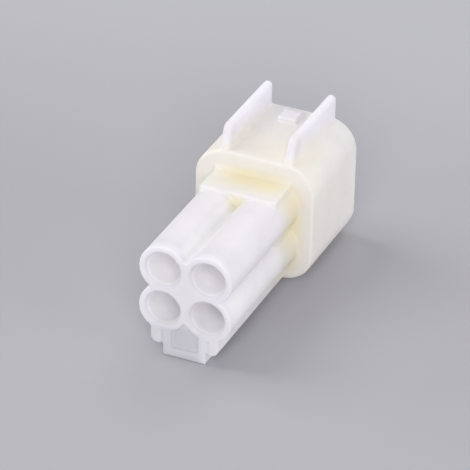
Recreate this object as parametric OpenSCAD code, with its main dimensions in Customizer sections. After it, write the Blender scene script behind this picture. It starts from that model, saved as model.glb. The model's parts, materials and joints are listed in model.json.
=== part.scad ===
// Hooded four-way connector housing, moulded in one piece.
// X runs across the housing, Y along the wires towards the mating mouth, Z up.
// The origin lies under the middle of the housing, level with its lowest point.

/* [Wire tubes] */
// Distance between the tube axes, side to side
pitch_x = 4.0; // [3.6:0.05:4.3]
// Distance between the tube axes, top to bottom
pitch_z = 3.7; // [3.4:0.05:4.0]
// Outside diameter of each wire tube
tube_od = 4.28; // [4.1:0.02:4.6]
// Free length of the tubes, from their mouths to the collar
tube_len = 10.3; // [8:0.05:14]
// Diameter of the bore that holds a wire seal
seal_bore_d = 2.9; // [2.4:0.05:3.1]
// Depth of the seal bore from the tube's mouth
seal_bore_len = 7.0; // [5:0.1:9]
// How far the lead-in at each tube's mouth widens the bore, and how deep it goes
lead_in = 0.2; // [0.1:0.05:0.3]
// Width of the web that fills the groove between left and right tubes
web_w = 0.3; // [0.2:0.05:0.8]

/* [Terminal cavities] */
// Side of the square cavity that holds a crimped terminal
cavity_side = 2.0; // [1.6:0.1:2.2]
// Width of the slot that a terminal's blade passes through
blade_slot_w = 1.6; // [1.0:0.1:1.8]
// Height of that slot
blade_slot_h = 1.0; // [0.6:0.1:1.4]

/* [Collar] */
// Width of the square collar behind the hood
collar_w = 7.0; // [6.4:0.05:8]
// Length of the collar along the tubes
collar_len = 3.45; // [2.5:0.05:5]
// How far the collar's top stands above the tubes
collar_rise = 0.12; // [0.05:0.01:0.6]
// Radius of the fillet where the collar meets the hood
root_r = 0.45; // [0.2:0.05:0.8]

/* [Hood] */
// Outside width of the hood
hood_w = 10.9; // [10:0.05:12]
// Outside height of the hood
hood_h = 11.05; // [10.5:0.05:12]
// How far the hood's underside, and the clip channel with it, lies below the tubes
hood_margin_below = 1.28; // [1:0.02:1.6]
// Length of the hood along the mating direction
hood_len = 9.7; // [8:0.05:14]
// Outside corner radius of the hood
hood_r = 2.7; // [2:0.05:3.2]
// Thickness of the hood's walls
hood_wall = 1.0; // [0.8:0.05:1.4]
// Thickness of the floor between the cavities and the hood
hood_floor = 1.4; // [1:0.1:2]
// Radius of the rounded outer edges at both ends of the hood
hood_edge_r = 0.3; // [0.15:0.05:0.45]
// Width of the bevel inside the hood's mouth
mouth_bevel = 0.3; // [0.1:0.05:0.45]

/* [Guards and lock] */
// Distance between the middles of the two guard fins
guard_spacing = 5.9; // [5:0.05:6.4]
// Thickness of a guard fin
guard_t = 0.8; // [0.6:0.02:1]
// Height of the guard fins above the hood
guard_h = 2.1; // [1.6:0.05:3]
// Length of the sloped nose of a guard fin
guard_nose = 0.9; // [0.6:0.05:2.5]
// Radius of the bend where a fin's nose meets its top
brow_r = 0.8; // [0.6:0.05:1.2]
// Width of the lock beak between the fins
beak_w = 1.7; // [1.2:0.1:2.6]
// Length of the beak's flat top
beak_flat = 1.5; // [0.8:0.1:2]
// Length of the beak's ramp, on the mating side
beak_ramp = 1.0; // [0.6:0.1:1.4]
// Height of the beak
beak_h = 0.5; // [0.3:0.05:0.9]
// Distance from the hood's mouth to the foot of the ramp
beak_inset = 0.45; // [0.2:0.05:1]

/* [Clip channel] */
// Width over the two side walls of the channel
channel_w = 6.1; // [5.6:0.02:7]
// Thickness of a channel wall
channel_wall = 0.8; // [0.6:0.05:1.1]
// Corner radius along the foot of each channel wall
channel_r = 0.65; // [0.3:0.05:0.8]
// Width of the catch at the wire end of the channel
catch_w = 3.84; // [3:0.02:4.3]
// How far the catch reaches below the channel walls
catch_drop = 0.94; // [0.5:0.02:1.4]
// Length of the catch along the channel
catch_len = 1.6; // [1:0.1:3]
// Width of the window in the catch
catch_window_w = 2.5; // [1.6:0.1:2.8]
// Thickness of the catch's lower bar
catch_bar = 0.72; // [0.5:0.02:0.9]
// Depth of the catch's window, in front of its back web
catch_pocket = 0.5; // [0.3:0.1:1]

/* [Hidden] */
$fn = 96;
eps = 0.02;
embed = 0.4;

tube_r = tube_od / 2;
collar_y = tube_len;
hood_y = collar_y + collar_len;
mouth_y = hood_y + hood_len;
cavity_y = hood_y + hood_floor;

tube_top = pitch_z / 2 + tube_r;
collar_top = tube_top + collar_rise;
hood_bottom = -tube_top - hood_margin_below;
hood_top = hood_bottom + hood_h;
hood_mid = (hood_top + hood_bottom) / 2;
catch_bottom = hood_bottom - catch_drop;
guard_top = hood_top + guard_h;
// The fins stop just short of the hood's end faces.
guard_gap = 0.1;
brow_steps = 3;

tube_axes = [for (sx = [-1, 1], sz = [-1, 1]) [sx * pitch_x / 2, sz * pitch_z / 2]];

// A cylinder along +Y from y0, with radius r0 at y0 and r1 at its far end
module rod(x, z, y0, len, r0, r1) {
    translate([x, y0, z]) rotate([-90, 0, 0]) cylinder(h = len, r1 = r0, r2 = r1);
}

// A box that spans from one corner to the other
module span(low, high) {
    translate(low) cube(high - low);
}

// A profile drawn in Y and Z, extruded across X and centred on x
module across(x, width) {
    translate([x - width / 2, 0, 0]) rotate([90, 0, 90]) linear_extrude(width) children();
}

// Half-section of a bar from y0 to y1 and from the axis out to r, with both outer corners rounded by e
module rounded_half(y0, y1, r, e) {
    square_from([0, y0], [r - e, y1]);
    square_from([0, y0 + e], [r, y1 - e]);
    for (y = [y0 + e, y1 - e]) translate([r - e, y]) circle(r = e, $fn = 32);
}

module square_from(low, high) {
    translate(low) square(high - low);
}

// A rounded-rectangle bar along Y whose outer end edges are rounded by e
module soft_bar(w, low, high, r, y0, y1, e) {
    mid = (low + high) / 2;
    for (x = [-w / 2 + r, w / 2 - r], z = [low + r, high - r])
        translate([x, 0, z]) rotate([90, 0, 0]) mirror([0, 0, 1])
            rotate_extrude() rounded_half(y0, y1, r, e);
    // The two crossing slabs that fill the faces between the corners
    across(0, w - 2 * r) slab_profile(y0, y1, low, high, e);
    translate([0, 0, mid]) rotate([0, 90, 0])
        across(0, high - low - 2 * r) slab_profile(y0, y1, -w / 2, w / 2, e);
}

// A rectangle in the profile plane with its four corners rounded by e
module slab_profile(y0, y1, low, high, e) {
    square_from([y0 + e, low], [y1 - e, high]);
    square_from([y0, low + e], [y1, high - e]);
    for (y = [y0 + e, y1 - e], z = [low + e, high - e]) translate([y, z]) circle(r = e, $fn = 32);
}

// A plain rounded-rectangle bar along Y, used to cut the hood's inside
module plain_bar(w, low, high, r, y0, y1) {
    for (x = [-w / 2 + r, w / 2 - r], z = [low + r, high - r]) rod(x, z, y0, y1 - y0, r, r);
    span([-w / 2 + r, y0, low], [w / 2 - r, y1, high]);
    span([-w / 2, y0, low + r], [w / 2, y1, high - r]);
}

// A strip that rounds the inside corner where a face of the collar meets the hood
module root_strip() {
    difference() {
        square_from([hood_y - root_r, -eps], [hood_y + eps, root_r]);
        translate([hood_y - root_r, root_r]) circle(r = root_r, $fn = 48);
    }
}

module tubes() {
    for (a = tube_axes) rod(a[0], a[1], 0, hood_y + embed, tube_r, tube_r);
    // The core that closes the space in the middle of the four tubes
    span([-pitch_x / 2, 0, -pitch_z / 2], [pitch_x / 2, hood_y + embed, pitch_z / 2]);
    span([-web_w / 2, 0, -tube_top + web_drop()], [web_w / 2, hood_y + embed, tube_top - web_drop()]);
}

// How far below the tubes' crown the web's flat lies, so that its edges meet the round tubes
function web_drop() = tube_r - sqrt(pow(tube_r, 2) - pow(pitch_x / 2 - web_w / 2, 2));

module collar() {
    span([-collar_w / 2, collar_y, -pitch_z / 2], [collar_w / 2, hood_y + embed, collar_top]);
    translate([0, 0, collar_top]) across(0, collar_w) root_strip();
}

module hood_shell() {
    difference() {
        soft_bar(hood_w, hood_bottom, hood_top, hood_r, hood_y, mouth_y, hood_edge_r);
        plain_bar(hood_w - 2 * hood_wall, hood_bottom + hood_wall, hood_top - hood_wall,
            hood_r - hood_wall, cavity_y, mouth_y + eps);
        mouth_cut();
    }
}

// The bevel inside the hood's mouth, as a short flared version of the opening
module mouth_cut() {
    w = hood_w - 2 * hood_wall;
    low = hood_bottom + hood_wall;
    high = hood_top - hood_wall;
    r = hood_r - hood_wall;
    y = mouth_y - mouth_bevel;
    for (x = [-w / 2 + r, w / 2 - r], z = [low + r, high - r])
        rod(x, z, y, mouth_bevel + eps, r, r + mouth_bevel + eps);
    across(0, w - 2 * r) flare(y, low, high);
    translate([0, 0, hood_mid]) rotate([0, 90, 0]) across(0, high - low - 2 * r) flare(y, -w / 2, w / 2);
}

module flare(y, low, high) {
    out = mouth_bevel + eps;
    polygon([[y, low], [y + out, low - out], [y + out, high + out], [y, high]]);
}

// One guard fin: a plate with a sloped nose, a bent brow, and one round edge that follows them
module guard(x) {
    r = guard_t / 2;
    y0 = hood_y + guard_gap;
    nose_lean = atan2(guard_nose, guard_h);
    brow_z = guard_top - brow_r;
    brow_y = y0 + (brow_z - hood_top) * tan(nose_lean) + brow_r / cos(nose_lean);
    intersection() {
        span([x - guard_t, y0, hood_top - embed], [x + guard_t, mouth_y - guard_gap, guard_top + embed]);
        intersection_for (lean = [nose_lean : (90 - nose_lean) / brow_steps : 90.001])
            translate([x, brow_y, brow_z]) rotate([-lean, 0, 0])
                round_edged_slab(r, brow_r - r);
    }
}

// A slab of thickness 2r that ends in a round edge, which runs along Z at a reach of r past the offset
module round_edged_slab(r, offset) {
    translate([0, 0, -hood_len]) linear_extrude(2 * hood_len) {
        translate([-r, -offset]) square([2 * r, 2 * hood_len]);
        translate([0, -offset]) circle(r = r);
    }
}

// The beak that the mating plug's lever snaps behind
module beak() {
    ramp_end = mouth_y - beak_inset;
    ramp_top = ramp_end - beak_ramp;
    across(0, beak_w)
        polygon([
            [ramp_top - beak_flat, hood_top - embed],
            [ramp_top - beak_flat, hood_top + beak_h],
            [ramp_top, hood_top + beak_h],
            [ramp_end, hood_top],
            [ramp_end, hood_top - embed]
        ]);
}

// One side wall of the clip channel, side is -1 or 1
module channel_side(side) {
    outer = channel_w / 2;
    inner = outer - channel_wall;
    y1 = hood_y + embed;
    mirror([side < 0 ? 1 : 0, 0, 0]) {
        span([inner, 0, hood_bottom + channel_r], [outer, y1, -pitch_z / 2]);
        span([inner, 0, hood_bottom], [outer - channel_r, y1, hood_bottom + channel_r]);
        intersection() {
            rod(outer - channel_r, hood_bottom + channel_r, 0, y1, channel_r, channel_r);
            span([inner, 0, hood_bottom], [outer, y1, hood_bottom + channel_r]);
        }
    }
}

// The catch that a mounting clip snaps over: a low frame with an open-topped window and a back web
module clip_catch() {
    post = (catch_w - catch_window_w) / 2;
    for (side = [-1, 1]) mirror([side < 0 ? 1 : 0, 0, 0])
        span([catch_w / 2 - post, 0, catch_bottom], [catch_w / 2, catch_len, -pitch_z / 2 - tube_r / 2]);
    span([-catch_w / 2, 0, catch_bottom], [catch_w / 2, catch_len, catch_bottom + catch_bar]);
    span([-catch_w / 2, catch_pocket, catch_bottom], [catch_w / 2, catch_len, hood_bottom + catch_drop]);
}

// Everything that is hollow along one tube's axis
module wire_way(x, z) {
    r = seal_bore_d / 2;
    rod(x, z, -eps, lead_in * 2 + eps, r + lead_in, r);
    rod(x, z, 0, seal_bore_len, r, r);
    s = cavity_side / 2;
    span([x - s, seal_bore_len - eps, z - s], [x + s, hood_y + embed, z + s]);
    span([x - blade_slot_w / 2, hood_y, z - blade_slot_h / 2],
        [x + blade_slot_w / 2, cavity_y + eps, z + blade_slot_h / 2]);
}

module housing() {
    color([0.94, 0.93, 0.89])
        translate([0, -mouth_y / 2, -catch_bottom])
            difference() {
                union() {
                    tubes();
                    collar();
                    hood_shell();
                    for (side = [-1, 1]) guard(side * guard_spacing / 2);
                    beak();
                    for (side = [-1, 1]) channel_side(side);
                    clip_catch();
                }
                for (a = tube_axes) wire_way(a[0], a[1]);
            }
}

housing();
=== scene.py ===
"""Looks for the four-way connector housing: soft edges, natural plastic, a plain floor and soft light."""
import json
import math

import bmesh
import bpy
from mathutils import Matrix, Vector


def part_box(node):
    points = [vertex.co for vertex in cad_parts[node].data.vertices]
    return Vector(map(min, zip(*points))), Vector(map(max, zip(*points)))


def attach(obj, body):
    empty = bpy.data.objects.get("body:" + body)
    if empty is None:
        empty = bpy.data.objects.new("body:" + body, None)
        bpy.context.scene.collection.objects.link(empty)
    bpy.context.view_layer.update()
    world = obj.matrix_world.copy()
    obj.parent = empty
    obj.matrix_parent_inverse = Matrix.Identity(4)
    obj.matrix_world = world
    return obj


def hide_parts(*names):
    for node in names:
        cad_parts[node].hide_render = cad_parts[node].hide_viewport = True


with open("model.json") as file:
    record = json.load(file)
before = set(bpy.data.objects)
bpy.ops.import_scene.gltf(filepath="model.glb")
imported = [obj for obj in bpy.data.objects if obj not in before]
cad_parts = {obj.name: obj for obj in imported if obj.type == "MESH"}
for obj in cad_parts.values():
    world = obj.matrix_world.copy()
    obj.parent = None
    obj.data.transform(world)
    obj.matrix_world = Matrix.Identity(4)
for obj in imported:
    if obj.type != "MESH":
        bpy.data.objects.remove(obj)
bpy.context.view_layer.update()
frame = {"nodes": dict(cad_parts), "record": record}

MM = 0.001
housing = frame["nodes"]["housing"]
low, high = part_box("housing")

# ---------------------------------------------------------------- sizes
# Millimetres along the frame's axes: x across, y from the wire end to the mouth, z up from the catch's foot.
SIDE_FACE, TOP_FACE = round(high.x / MM, 3), round(high.z / MM, 3)
NEAR_FACE, FAR_FACE = round(low.y / MM, 3), round(high.y / MM, 3)

mounts = {mount["name"]: mount for mount in frame["record"]["mounts"]}
upper_bore = mounts["seal_bore_top_right"]
lower_bore = mounts["seal_bore_bottom_right"]
UPPER_Z, LOWER_Z = upper_bore["pos_m"][2] / MM, lower_bore["pos_m"][2] / MM
BUNDLE_Z = (UPPER_Z + LOWER_Z) / 2
TUBE_X = upper_bore["pos_m"][0] / MM
TUBE_Z = (UPPER_Z - LOWER_Z) / 2
BORE_RADIUS = upper_bore["dims"]["r_mm"]

HOOD_LEN, HOOD_EDGE = 9.7, 0.3
COLLAR_LEN, FIN_HEIGHT = 3.45, 2.1
CATCH_LEN, CATCH_DROP = 1.6, 0.94
HOOD_FACE = FAR_FACE - HOOD_LEN
HOOD_TOP = TOP_FACE - FIN_HEIGHT
COLLAR_NEAR = HOOD_FACE - COLLAR_LEN

# The part leans on the foot of its catch and on the far edge of the hood.
# So the floor rises towards the mouth.
REST_FRONT = Vector((0.0, low.y + CATCH_LEN * MM, low.z))
REST_BACK = Vector((0.0, high.y - HOOD_EDGE * MM, low.z + CATCH_DROP * MM))
FLOOR_TILT = math.atan2(REST_BACK.z - REST_FRONT.z, REST_BACK.y - REST_FRONT.y)

# ---------------------------------------------------------------- camera
CAM_AT = Vector((101.525, -235.155, 158.610)) * MM
CAM_AHEAD = Vector((-0.342339, 0.787267, -0.512850))
CAM_TOP = Vector((0.0, -math.sin(FLOOR_TILT), math.cos(FLOOR_TILT)))
LENS_MM, SENSOR_MM = 271.5, 36.0
CLIP_START, CLIP_END = 0.01, 10.0


def aim(obj, at, ahead, up):
    """Puts a camera or lamp at a point, facing ahead, with its top towards up."""
    back = -ahead.normalized()
    right = up.cross(back).normalized()
    top = back.cross(right)
    turn = Matrix((right, top, back)).transposed().to_4x4()
    obj.matrix_world = Matrix.Translation(at) @ turn


def add_camera():
    """The camera, level with the tilted floor."""
    data = bpy.data.cameras.new("camera")
    data.lens = LENS_MM
    data.sensor_width = SENSOR_MM
    data.clip_start = CLIP_START
    data.clip_end = CLIP_END
    camera = bpy.data.objects.new("camera", data)
    bpy.context.scene.collection.objects.link(camera)
    aim(camera, CAM_AT, CAM_AHEAD, CAM_TOP)
    bpy.context.scene.camera = camera


# ---------------------------------------------------------------- paint tools
def srgb(*values):
    """An 8-bit display colour as a linear RGBA colour."""
    def lin(v):
        v = v / 255.0
        return v / 12.92 if v <= 0.04045 else ((v + 0.055) / 1.055) ** 2.4
    return tuple(lin(v) for v in values) + (1.0,)


class Paint:
    """A material being made. Its place, and its x, y and z, are millimetres along the object's own axes."""

    def __init__(self, name):
        self.material = bpy.data.materials.new(name)
        self.material.use_nodes = True
        self.nodes = self.material.node_tree.nodes
        self.links = self.material.node_tree.links
        self.principled = self.nodes["Principled BSDF"]
        scaled = self.nodes.new("ShaderNodeVectorMath")
        scaled.operation = "SCALE"
        scaled.inputs["Scale"].default_value = 1.0 / MM
        self.links.new(self.nodes.new("ShaderNodeTexCoord").outputs["Object"], scaled.inputs[0])
        self.place = scaled.outputs["Vector"]
        parts = self.nodes.new("ShaderNodeSeparateXYZ")
        self.links.new(self.place, parts.inputs[0])
        self.x, self.y, self.z = parts.outputs

    def feed(self, socket, value):
        """Sets a socket to a plain value, or links it to another node's output."""
        if isinstance(value, bpy.types.NodeSocket):
            self.links.new(value, socket)
        else:
            socket.default_value = value

    def calc(self, operation, *values):
        """One step of arithmetic on numbers or outputs."""
        node = self.nodes.new("ShaderNodeMath")
        node.operation = operation
        for socket, value in zip(node.inputs, values):
            self.feed(socket, value)
        return node.outputs[0]

    def rise(self, value, fade):
        """A mask: 0 before the fade's first place and 1 past its second, whichever of them is larger."""
        start, end = fade
        node = self.nodes.new("ShaderNodeMapRange")
        node.interpolation_type = "SMOOTHSTEP"
        node.inputs["From Min"].default_value = min(start, end)
        node.inputs["From Max"].default_value = max(start, end)
        node.inputs["To Min"].default_value = float(start > end)
        node.inputs["To Max"].default_value = float(start < end)
        self.feed(node.inputs["Value"], value)
        return node.outputs[0]

    def all_of(self, *masks):
        """The product of masks: high where every one is high."""
        result = masks[0]
        for mask in masks[1:]:
            result = self.calc("MULTIPLY", result, mask)
        return result

    def any_of(self, first, second):
        """The larger of two masks."""
        return self.calc("MAXIMUM", first, second)

    def part(self, mask, share):
        """A mask at only a share of its strength."""
        return self.calc("MULTIPLY", mask, share)

    def less(self, mask, share):
        """1, lowered by a share where the mask is high."""
        return self.calc("SUBTRACT", 1.0, self.part(mask, share))

    def off(self, value, middle):
        """How far a coordinate is from a middle, either way."""
        return self.calc("ABSOLUTE", self.calc("SUBTRACT", value, middle))

    def span(self, *sides):
        """The length of a vector with these sides."""
        squares = [self.calc("MULTIPLY", side, side) for side in sides]
        total = squares[0]
        for square in squares[1:]:
            total = self.calc("ADD", total, square)
        return self.calc("SQRT", total)

    def noise(self, grain, detail):
        """A noise about grain millimetres coarse, as a number near 0.5."""
        node = self.nodes.new("ShaderNodeTexNoise")
        node.inputs["Scale"].default_value = 1.0 / grain
        node.inputs["Detail"].default_value = detail
        self.links.new(self.place, node.inputs["Vector"])
        return node.outputs["Fac"]

    def tint(self, share, under, over):
        """The colour under, covered by the colour over as far as share says."""
        node = self.nodes.new("ShaderNodeMix")
        node.data_type = "RGBA"
        self.feed(node.inputs["Factor"], share)
        self.feed(node.inputs[6], under)
        self.feed(node.inputs[7], over)
        return node.outputs[2]


# ---------------------------------------------------------------- plastic
# Natural nylon is milky: this much of the light that meets a thin wall goes through it, so the bores glow.
THROUGH_SHARE = 0.4
GLOSS_LEVEL = 0.35
ROUGH_LEAST, ROUGH_MORE = 0.34, 0.2
ROUGH_GRAIN, ROUGH_DETAIL = 1.1, 4.0

# The skin's unevenness: a fine grain, and a broad one that counts for more.
BUMP_STRENGTH, BUMP_DEPTH = 0.5, 0.02
FINE_GRAIN, FINE_DETAIL = 0.25, 3.0
BROAD_GRAIN, BROAD_DETAIL, BROAD_HEIGHT = 1.6, 2.0, 2.0
SPOT_HEIGHT = 1.5

COOL_WHITE = srgb(245, 242, 247)
TUBE_NEAR = srgb(235, 233, 239)
# Painted light: the lower tubes are painted lighter to lift the shade on them.
TUBE_LOW = srgb(251, 249, 253)
# Painted light: the near end face is painted lighter to lift its shade.
NEAR_END = srgb(246, 244, 249)
# Painted shade: a darker ring round each bore mouth on the near face.
LIP_SHADE = srgb(236, 234, 239)
# Painted light: a white that lifts the shade inside the bores and the tunnel, in the grooves between the
# tubes and low on the right side.
SHADE_LIFT_WHITE = srgb(255, 254, 255)
# Painted shade on the thin catch and on the channel wall beside it.
CATCH_SHADE = srgb(229, 228, 233)
HOOD_SIDE = srgb(253, 251, 248)
# Painted light: the hood's sides are painted lighter towards the bottom, to lift the shade there.
HOOD_LOW = srgb(254, 252, 250)
HOOD_CREAM = srgb(250, 246, 239)
HOOD_FAR = srgb(248, 246, 246)
FACE_CREAM = srgb(247, 244, 239)
FIN_WHITE = srgb(249, 247, 253)
FIN_NOSE = srgb(239, 236, 241)
# Partly the nylon's own yellow, partly painted shade in the crease.
CREASE_TINT_AND_SHADE = srgb(246, 235, 196)
SPOT_PALE = srgb(254, 252, 250)
MOTTLE_TINT = srgb(232, 230, 232)

# Every _FADE below is the place where a zone starts to show, and the place from which it shows in full.
BORE_WALL_FADE = (BORE_RADIUS + 0.08, BORE_RADIUS + 0.02)
BORE_END_FADE = (HOOD_FACE + 1.0, HOOD_FACE)
TUNNEL_ROOF_FADE = (4.4, 3.6)
TUNNEL_SIDE_FADE = (2.6, 2.0)
TUNNEL_NEAR_FADE = (NEAR_FACE + 1.725, NEAR_FACE + 2.725)


def inside_mask(paint, from_axis):
    """Where painted light lifts the shade: the bores with the cavities behind them, and the tunnel between
    the walls of the clip channel.
    """
    in_bore = paint.all_of(paint.rise(from_axis, BORE_WALL_FADE), paint.rise(paint.y, BORE_END_FADE))
    in_tunnel = paint.all_of(
        paint.rise(paint.z, TUNNEL_ROOF_FADE),
        paint.rise(paint.off(paint.x, 0.0), TUNNEL_SIDE_FADE),
        paint.rise(paint.y, TUNNEL_NEAR_FADE),
    )
    return paint.any_of(in_bore, in_tunnel)


# The painted shade on the thin catch shows in part on the channel's left wall, and ends before the catch's
# right post.
CATCH_WALL_FADE, CATCH_WALL_SHARE = (-3.4, -3.2), 0.6
CATCH_POST_FADE, CATCH_POST_SHARE = (-2.2, -2.0), 0.4
CATCH_RIGHT_FADE = (1.8, 1.0)
CATCH_NEAR_FADE = (NEAR_FACE + 2.325, NEAR_FACE + 1.725)
CATCH_TOP_FADE = (3.0, 2.4)


def catch_shade_mask(paint):
    """Where shade is painted: the catch and the foot of the channel wall beside it."""
    wall = paint.part(paint.rise(paint.x, CATCH_WALL_FADE), CATCH_WALL_SHARE)
    post = paint.part(paint.rise(paint.x, CATCH_POST_FADE), CATCH_POST_SHARE)
    return paint.all_of(
        paint.calc("ADD", wall, post),
        paint.rise(paint.x, CATCH_RIGHT_FADE),
        paint.rise(paint.y, CATCH_NEAR_FADE),
        paint.rise(paint.z, CATCH_TOP_FADE),
    )


# The crease is a ring where the collar meets the hood; its tint is partly the nylon's own yellow where the
# plastic is thick, and partly painted shade in the crease. It lies outward of a core with square corners.
CORE_HALF_X, CORE_HALF_Z = 2.5, 2.6
RING_OUT, RING_BACK = 1.6, 0.5
RING_FADE = (2.9, 0.3)
RING_OUTER_FADE = (2.4, 1.5)
CREASE_LEFT_FADE = (-4.0, -0.8)
CREASE_RIGHT_FADE, CREASE_RIGHT_LOSS = (3.0, 3.8), 0.25
CREASE_RISE_FADE, CREASE_FOOT, CREASE_RISE = (2.5, 7.0), 0.55, 0.35
CORNER_X, CORNER_Z = 3.5, 10.2
CORNER_FADE, CORNER_LOSS = (1.8, 0.2), 0.5
GROOVE_TOP_Z, GROOVE_END_FADE, GROOVE_END_SHARE = 9.2, (1.6, 0.3), 0.6


def crease_tint_and_shade_mask(paint):
    """The warm tint, partly the nylon's yellow and partly painted shade, where tubes and collar meet the
    hood, and where the top groove ends at the collar.
    """
    past_x = paint.calc("MAXIMUM", paint.calc("SUBTRACT", paint.off(paint.x, 0.0), CORE_HALF_X), 0.0)
    past_z = paint.calc("MAXIMUM", paint.calc("SUBTRACT", paint.off(paint.z, BUNDLE_Z), CORE_HALF_Z), 0.0)
    outward = paint.span(past_x, past_z)
    ring_out = paint.calc("SUBTRACT", outward, RING_OUT)
    ring_along = paint.calc("SUBTRACT", paint.y, HOOD_FACE - RING_BACK)
    from_ring = paint.span(ring_out, ring_along)
    corner_sides = paint.calc("SUBTRACT", paint.x, CORNER_X), paint.calc("SUBTRACT", paint.z, CORNER_Z)
    at_corner = paint.span(*corner_sides)
    ring = paint.all_of(
        paint.rise(from_ring, RING_FADE),
        paint.rise(paint.x, CREASE_LEFT_FADE),
        paint.less(paint.rise(at_corner, CORNER_FADE), CORNER_LOSS),
        paint.rise(outward, RING_OUTER_FADE),
        paint.calc("ADD", CREASE_FOOT, paint.part(paint.rise(paint.z, CREASE_RISE_FADE), CREASE_RISE)),
        paint.less(paint.rise(paint.x, CREASE_RIGHT_FADE), CREASE_RIGHT_LOSS),
    )
    past_collar = paint.calc("SUBTRACT", paint.y, COLLAR_NEAR)
    from_groove = paint.span(paint.x, past_collar, paint.calc("SUBTRACT", paint.z, GROOVE_TOP_Z))
    return paint.any_of(ring, paint.part(paint.rise(from_groove, GROOVE_END_FADE), GROOVE_END_SHARE))


TUBE_NEAR_FADE = (NEAR_FACE + 3.725, NEAR_FACE + 0.425)
TUBE_LOW_FADE = (9.9, 8.3)
GROOVE_FADE = (1.1, 0.4)
LOW_RIGHT_Z_FADE, LOW_RIGHT_X_FADE = (6.5, 4.5), (-1.0, 1.0)
NEAR_END_FADE = (NEAR_FACE + 1.225, NEAR_FACE + 0.125)
LIP_FADE = (BORE_RADIUS + 0.4, BORE_RADIUS + 0.15)
LIP_NEAR_FADE = (NEAR_FACE + 0.525, NEAR_FACE + 0.225)


def tube_colour(paint, from_axis):
    """The tubes with their near ends and lips, and the catch. Painted light lifts the lower tubes, the
    grooves and the near end; painted shade darkens the lips and the catch.
    """
    colour = paint.tint(paint.rise(paint.y, TUBE_NEAR_FADE), COOL_WHITE, TUBE_NEAR)
    colour = paint.tint(paint.rise(paint.z, TUBE_LOW_FADE), colour, TUBE_LOW)
    # Painted light: the grooves between the tubes and the low right side are lifted towards white against
    # their shade.
    low_right = paint.all_of(paint.rise(paint.z, LOW_RIGHT_Z_FADE), paint.rise(paint.x, LOW_RIGHT_X_FADE))
    in_groove = paint.any_of(paint.rise(paint.off(paint.x, 0.0), GROOVE_FADE), low_right)
    colour = paint.tint(in_groove, colour, SHADE_LIFT_WHITE)
    # Painted light on the near end face.
    colour = paint.tint(paint.rise(paint.y, NEAR_END_FADE), colour, NEAR_END)
    # Painted shade round the bore mouths.
    at_lip = paint.all_of(paint.rise(from_axis, LIP_FADE), paint.rise(paint.y, LIP_NEAR_FADE))
    colour = paint.tint(at_lip, colour, LIP_SHADE)
    return paint.tint(catch_shade_mask(paint), colour, CATCH_SHADE)


HOOD_LOW_FADE = (9.5, 1.5)
HOOD_TOP_FADE = (HOOD_TOP - 1.2, HOOD_TOP - 0.2)
FAR_TOP_Y_FADE = (HOOD_FACE + 1.975, HOOD_FACE + 8.975)
FAR_TOP_Z_FADE = (8.0, 10.5)
FACE_FADE = (HOOD_FACE + 0.6, HOOD_FACE + 0.1)


def hood_colour(paint):
    """The hood: its sides, painted lighter towards the bottom to lift their shade, its top and the face
    towards the tubes.
    """
    colour = paint.tint(paint.rise(paint.z, HOOD_LOW_FADE), HOOD_SIDE, HOOD_LOW)
    colour = paint.tint(paint.rise(paint.z, HOOD_TOP_FADE), colour, HOOD_CREAM)
    at_far_top = paint.all_of(paint.rise(paint.y, FAR_TOP_Y_FADE), paint.rise(paint.z, FAR_TOP_Z_FADE))
    colour = paint.tint(at_far_top, colour, HOOD_FAR)
    return paint.tint(paint.rise(paint.y, FACE_FADE), colour, FACE_CREAM)


FIN_FADE = (HOOD_TOP, HOOD_TOP + 1.3)
FIN_NOSE_FADE = (HOOD_FACE + 2.575, HOOD_FACE + 0.975)
BEAK_Z_FADE = (HOOD_TOP + 0.06, HOOD_TOP + 0.2)
BEAK_Y_FADE = (HOOD_FACE + 6.575, HOOD_FACE + 7.175)


def with_fins(paint, colour):
    """The colour with the fins and the beak in a cooler white, and the fins' noses a little darker."""
    on_beak = paint.all_of(paint.rise(paint.z, BEAK_Z_FADE), paint.rise(paint.y, BEAK_Y_FADE))
    on_fins = paint.any_of(paint.rise(paint.z, FIN_FADE), on_beak)
    colour = paint.tint(on_fins, colour, FIN_WHITE)
    return paint.tint(paint.all_of(on_fins, paint.rise(paint.y, FIN_NOSE_FADE)), colour, FIN_NOSE)


# A pale, slightly raised round spot on the hood's side.
SPOT_AT = (SIDE_FACE, FAR_FACE - 2.235, 4.11)
SPOT_FADE, SPOT_SHARE = (0.55, 0.4), 0.7


def pale_spot_mask(paint):
    """The pale spot."""
    sides = [paint.calc("SUBTRACT", at, gate) for at, gate in zip((paint.x, paint.y, paint.z), SPOT_AT)]
    return paint.rise(paint.span(*sides), SPOT_FADE)


# Two mottles, as grain, detail, the noise levels between which they show, and strength.
MOTTLES = ((2.2, 3.0, (0.42, 0.68), 0.2), (0.5, 2.0, (0.45, 0.7), 0.09))


def mottle_mask(paint):
    """The faint cloudiness all over."""
    masks = []
    for grain, detail, fade, share in MOTTLES:
        masks.append(paint.part(paint.rise(paint.noise(grain, detail), fade), share))
    return paint.calc("ADD", *masks)


def skin_bump(paint, on_spot):
    """The skin's unevenness with the raised pale spot, as a normal."""
    broad = paint.part(paint.noise(BROAD_GRAIN, BROAD_DETAIL), BROAD_HEIGHT)
    height = paint.calc("ADD", paint.noise(FINE_GRAIN, FINE_DETAIL), broad)
    bump = paint.nodes.new("ShaderNodeBump")
    bump.inputs["Strength"].default_value = BUMP_STRENGTH
    bump.inputs["Distance"].default_value = BUMP_DEPTH * MM
    paint.links.new(paint.calc("ADD", height, paint.part(on_spot, SPOT_HEIGHT)), bump.inputs["Height"])
    return bump.outputs["Normal"]


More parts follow.
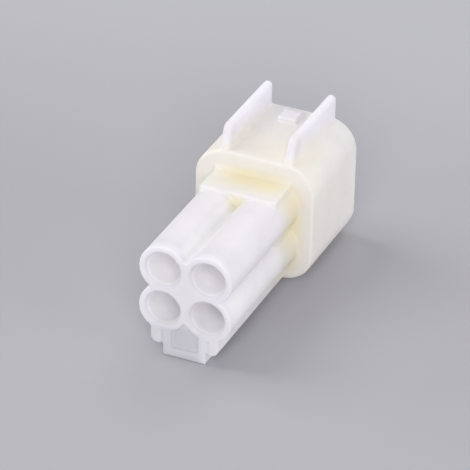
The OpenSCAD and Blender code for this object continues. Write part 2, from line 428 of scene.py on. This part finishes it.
def milky_surface(paint, colour, normal):
    """A satin surface that lets part of the light through."""
    uneven = paint.part(paint.noise(ROUGH_GRAIN, ROUGH_DETAIL), ROUGH_MORE)
    roughness = paint.calc("ADD", ROUGH_LEAST, uneven)
    paint.links.new(colour, paint.principled.inputs["Base Color"])
    paint.links.new(roughness, paint.principled.inputs["Roughness"])
    paint.links.new(normal, paint.principled.inputs["Normal"])
    paint.principled.inputs["Specular IOR Level"].default_value = GLOSS_LEVEL
    through = paint.nodes.new("ShaderNodeBsdfTranslucent")
    paint.links.new(colour, through.inputs["Color"])
    paint.links.new(normal, through.inputs["Normal"])
    milky = paint.nodes.new("ShaderNodeMixShader")
    milky.inputs["Fac"].default_value = THROUGH_SHARE
    paint.links.new(paint.principled.outputs["BSDF"], milky.inputs[1])
    paint.links.new(through.outputs["BSDF"], milky.inputs[2])
    paint.links.new(milky.outputs["Shader"], paint.nodes["Material Output"].inputs["Surface"])


HOOD_FADE = (COLLAR_NEAR - 0.6, COLLAR_NEAR + 1.2)


def natural_plastic():
    """Milky nylon, coloured zone by zone."""
    paint = Paint("natural_plastic")
    aside = paint.off(paint.off(paint.x, 0.0), TUBE_X)
    from_axis = paint.span(aside, paint.off(paint.off(paint.z, BUNDLE_Z), TUBE_Z))
    on_spot = pale_spot_mask(paint)
    colour = paint.tint(paint.rise(paint.y, HOOD_FADE), tube_colour(paint, from_axis), hood_colour(paint))
    colour = with_fins(paint, colour)
    colour = paint.tint(crease_tint_and_shade_mask(paint), colour, CREASE_TINT_AND_SHADE)
    # Painted light lifts the shade inside the bores and the tunnel.
    colour = paint.tint(inside_mask(paint, from_axis), colour, SHADE_LIFT_WHITE)
    colour = paint.tint(paint.part(on_spot, SPOT_SHARE), colour, SPOT_PALE)
    colour = paint.tint(mottle_mask(paint), colour, MOTTLE_TINT)
    milky_surface(paint, colour, skin_bump(paint, on_spot))
    return paint.material


# ---------------------------------------------------------------- moulding
# The skin is rebuilt from voxels, smoothed in rounds, and thinned to a share of its faces.
WELD_GAP, SKIN_VOXEL = 0.002, 0.09
SKIN_ROUNDS, SKIN_SOFTNESS = 4, 0.5
SKIN_SHARE = 0.35

# The web closes the near end of the clip channel. It reaches up to the middle of the lower tubes' walls.
WEB_NEAR, WEB_FAR = NEAR_FACE + 0.5, NEAR_FACE + 1.4
WEB_HALF, WEB_FOOT, WEB_STEPS = 2.4, 1.0, 12
WALL_MIDDLE = 1.8

# Its two narrow sides fill the slots beside the catch, and reach nearer the wire end.
SLOT_INNER, SLOT_TOP = 1.8, 2.5
SLOT_FACE = NEAR_FACE + 0.105


def prism(outline, near, far):
    """Corners and faces of an outline of (x, z) points, drawn out along y from near to far."""
    count = len(outline)
    corners = [(px * MM, py * MM, pz * MM) for py in (near, far) for px, pz in outline]
    ends = [tuple(range(count)), tuple(reversed(range(count, 2 * count)))]
    sides = [(i, i + count, (i + 1) % count + count, (i + 1) % count) for i in range(count)]
    return corners, ends + sides


def near_web():
    """The web behind the catch, up to the two lower tubes, and its two narrow sides beside the catch."""
    steps = [WEB_HALF * (1 - i / WEB_STEPS) for i in range(2 * WEB_STEPS + 1)]
    drops = [max(WALL_MIDDLE ** 2 - (TUBE_X - abs(step)) ** 2, 0.0) for step in steps]
    under_tubes = [(step, LOWER_Z - math.sqrt(drop)) for step, drop in zip(steps, drops)]
    shapes = [prism([(-WEB_HALF, WEB_FOOT), (WEB_HALF, WEB_FOOT)] + under_tubes, WEB_NEAR, WEB_FAR)]
    for side in (-1, 1):
        inner, outer = side * SLOT_INNER, side * WEB_HALF
        outline = [(inner, WEB_FOOT), (outer, WEB_FOOT), (outer, SLOT_TOP), (inner, SLOT_TOP)]
        shapes.append(prism(outline, SLOT_FACE, WEB_FAR))
    return shapes


def add_shapes(mesh, shapes):
    """Adds closed shapes, each given as corners and faces, to a mesh."""
    joined = bmesh.new()
    joined.from_mesh(mesh)
    for corners, faces in shapes:
        verts = [joined.verts.new(corner) for corner in corners]
        for face in faces:
            joined.faces.new([verts[i] for i in face])
    bmesh.ops.recalc_face_normals(joined, faces=joined.faces[:])
    joined.to_mesh(mesh)
    joined.free()


def moulded_skin(source, name, material):
    """A copy of a CAD node with the near web added, and with the soft edges of a moulding."""
    mesh = source.data.copy()
    add_shapes(mesh, near_web())
    piece = bpy.data.objects.new(name, mesh)
    bpy.context.scene.collection.objects.link(piece)
    weld = piece.modifiers.new("weld", "WELD")
    weld.merge_threshold = WELD_GAP * MM
    skin = piece.modifiers.new("skin", "REMESH")
    skin.mode = "VOXEL"
    skin.voxel_size = SKIN_VOXEL * MM
    soften = piece.modifiers.new("soften", "SMOOTH")
    soften.factor = SKIN_SOFTNESS
    soften.iterations = SKIN_ROUNDS
    thin = piece.modifiers.new("thin", "DECIMATE")
    thin.ratio = SKIN_SHARE
    graph = bpy.context.evaluated_depsgraph_get()
    mesh = bpy.data.meshes.new_from_object(piece.evaluated_get(graph), depsgraph=graph)
    piece.modifiers.clear()
    piece.data = mesh
    mesh.shade_smooth()
    mesh.materials.clear()
    mesh.materials.append(material)
    return piece


# ---------------------------------------------------------------- floor
FLOOR_SIZE = 2.0
FLOOR_NEAR = srgb(167, 166, 172)
FLOOR_FAR = srgb(176, 176, 182)
FLOOR_FADE = (22.0, 60.0)
FLOOR_ROUGHNESS, FLOOR_GLOSS = 0.9, 0.1


def floor_card():
    """Plain grey card, a little paler far behind the part."""
    paint = Paint("floor_card")
    colour = paint.tint(paint.rise(paint.y, FLOOR_FADE), FLOOR_NEAR, FLOOR_FAR)
    paint.links.new(colour, paint.principled.inputs["Base Color"])
    paint.principled.inputs["Roughness"].default_value = FLOOR_ROUGHNESS
    paint.principled.inputs["Specular IOR Level"].default_value = FLOOR_GLOSS
    return paint.material


def add_floor():
    """The floor, tilted as the part rests on it."""
    bpy.ops.mesh.primitive_plane_add(size=FLOOR_SIZE)
    floor = bpy.context.object
    floor.name = "floor"
    floor.matrix_world = Matrix.Translation(REST_FRONT) @ Matrix.Rotation(FLOOR_TILT, 4, "X")
    floor.data.materials.append(floor_card())
    return floor


# ---------------------------------------------------------------- light
# Metres from the middle of the part, and watts.
WORLD_LEVEL = 0.236
MIDDLE = Vector((0.0, 0.0, 0.007))
LAMP_SIZE = 0.3
LAMP_TOP = Vector((0.0, 1.0, 0.01))
LAMPS = (
    ("lamp_above_left", (-0.3, 0.0, 0.4), 1.09),
    ("lamp_above_back", (0.0, 0.3, 0.4), 0.56),
    ("lamp_front", (0.17, -0.39, 0.26), 1.75),
    ("lamp_low_front", (-0.33, -0.36, 0.06), 0.48),
    ("lamp_left", (-0.49, 0.0, 0.1), 0.78),
    ("lamp_right", (0.49, 0.0, 0.1), 1.16),
)


def add_world():
    """An even white world."""
    world = bpy.data.worlds.new("world")
    bpy.context.scene.world = world
    world.use_nodes = True
    background = world.node_tree.nodes["Background"]
    background.inputs["Color"].default_value = (1.0, 1.0, 1.0, 1.0)
    background.inputs["Strength"].default_value = WORLD_LEVEL


def soft_lamp(name, offset, power):
    """A square area lamp aimed at the middle of the part."""
    data = bpy.data.lights.new(name, "AREA")
    data.shape = "SQUARE"
    data.size = LAMP_SIZE
    data.energy = power
    lamp = bpy.data.objects.new(name, data)
    bpy.context.scene.collection.objects.link(lamp)
    at = MIDDLE + Vector(offset)
    aim(lamp, at, MIDDLE - at, LAMP_TOP)


# ---------------------------------------------------------------- scene
add_camera()

moulding = moulded_skin(housing, "moulding", natural_plastic())
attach(moulding, "root")
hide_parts("housing")

floor = add_floor()

add_world()
for lamp_name, lamp_offset, lamp_power in LAMPS:
    soft_lamp(lamp_name, lamp_offset, lamp_power)

bpy.context.scene.view_settings.view_transform = "Standard"
